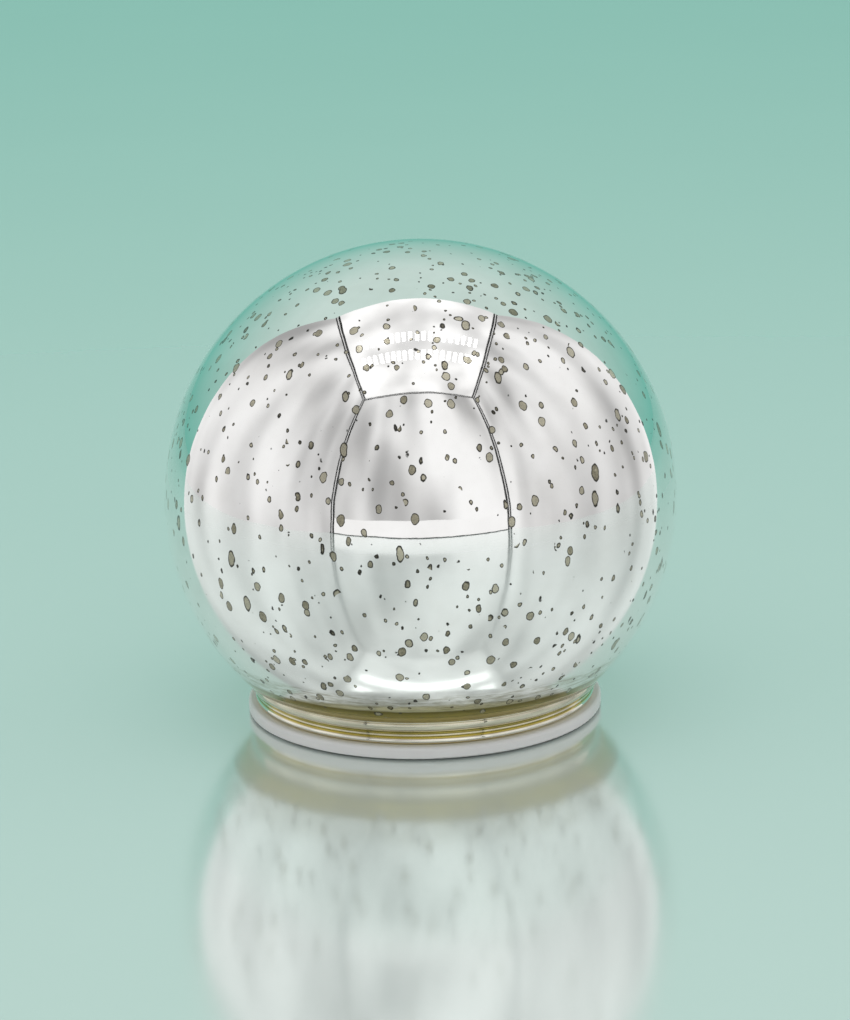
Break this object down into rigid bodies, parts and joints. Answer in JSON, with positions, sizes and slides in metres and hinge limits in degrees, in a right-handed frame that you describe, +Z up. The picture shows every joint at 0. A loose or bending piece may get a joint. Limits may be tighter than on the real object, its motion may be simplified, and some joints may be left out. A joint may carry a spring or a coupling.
{
  "type": "silvered glass ball lamp",
  "caption": "Mirrored blown-glass globe with a short footed neck, pushed onto a flat round battery base with lights inside; stands on a table.",
  "frame": {"origin": "centre of the plane that the foot pads stand on", "axes": "+Z up through the globe; -Y towards the side with the switch; the cells lie along X and the battery door is hinged at its +X end"},
  "size_m": [0.12, 0.12, 0.1114],
  "materials": {
    "silvered_glass": "mirror-coated blown glass with small bare specks",
    "white_plastic": "satin, slightly translucent white",
    "white_rubber": "matt",
    "foot_rubber": "matt",
    "foam": "open foam",
    "screw_steel": "zinc plated",
    "contact_plate": "nickel plated spring steel",
    "circuit_board": "green solder mask",
    "white_circuit_board": "white solder mask",
    "chip_plastic": "moulded black",
    "tinned_metal": "tinned",
    "capacitor_can": "drawn can",
    "switch_case": "pressed plate",
    "knob_plastic": "moulded dark grey",
    "frosted_plastic": "frosted, lets light through",
    "red_wire": "insulation",
    "black_wire": "insulation",
    "cell_steel": "plated can",
    "cell_sleeve": "plain printed sleeve",
    "led_resin": "warm-white lens"
  },
  "bodies": {
    "base": {"base_plate": "white_plastic", "neck_seal": "white_rubber", "foot_pads": "foot_rubber", "base_cover": "white_plastic", "cover_screws": "screw_steel", "minus_contact": "contact_plate", "plus_contact": "contact_plate", "bridge_contact_1": "contact_plate", "bridge_contact_2": "contact_plate", "control_board": "circuit_board", "board_screws": "screw_steel", "timer_chip": "chip_plastic", "chip_legs": "tinned_metal", "smoothing_capacitor": "capacitor_can", "chip_resistors": "chip_plastic", "switch_body": "switch_case", "switch_pins": "tinned_metal", "led_board": "white_circuit_board", "diffuser_dome": "frosted_plastic", "battery_lead_plus": "red_wire", "battery_lead_minus": "black_wire", "led_lead_plus": "red_wire", "led_lead_minus": "black_wire", "cell_can_1": "cell_steel", "cell_sleeve_1": "cell_sleeve", "contact_spring_1": "contact_plate", "cell_can_2": "cell_steel", "cell_sleeve_2": "cell_sleeve", "contact_spring_2": "contact_plate", "cell_can_3": "cell_steel", "cell_sleeve_3": "cell_sleeve", "contact_spring_3": "contact_plate", "led_1": "led_resin", "led_2": "led_resin", "led_3": "led_resin", "led_4": "led_resin"},
    "globe": {"glass_globe": "silvered_glass"},
    "switch": {"switch_knob": "knob_plastic"},
    "door": {"battery_door": "white_plastic", "door_pad": "foam"}
  },
  "joints": [
    {"name": "globe_lift", "type": "slide", "parent": "base", "child": "globe", "axis": [0, 0, 1], "range_m": [0, 0.045]},
    {"name": "switch_slide", "type": "slide", "parent": "base", "child": "switch", "axis": [1, 0, 0], "range_m": [-0.002, 0.002]},
    {"name": "battery_door_hinge", "type": "hinge", "parent": "base", "child": "door", "pos_m": [0.028, 0, 0.00175], "axis": [0, -1, 0], "range_deg": [0, 110]}
  ]
}
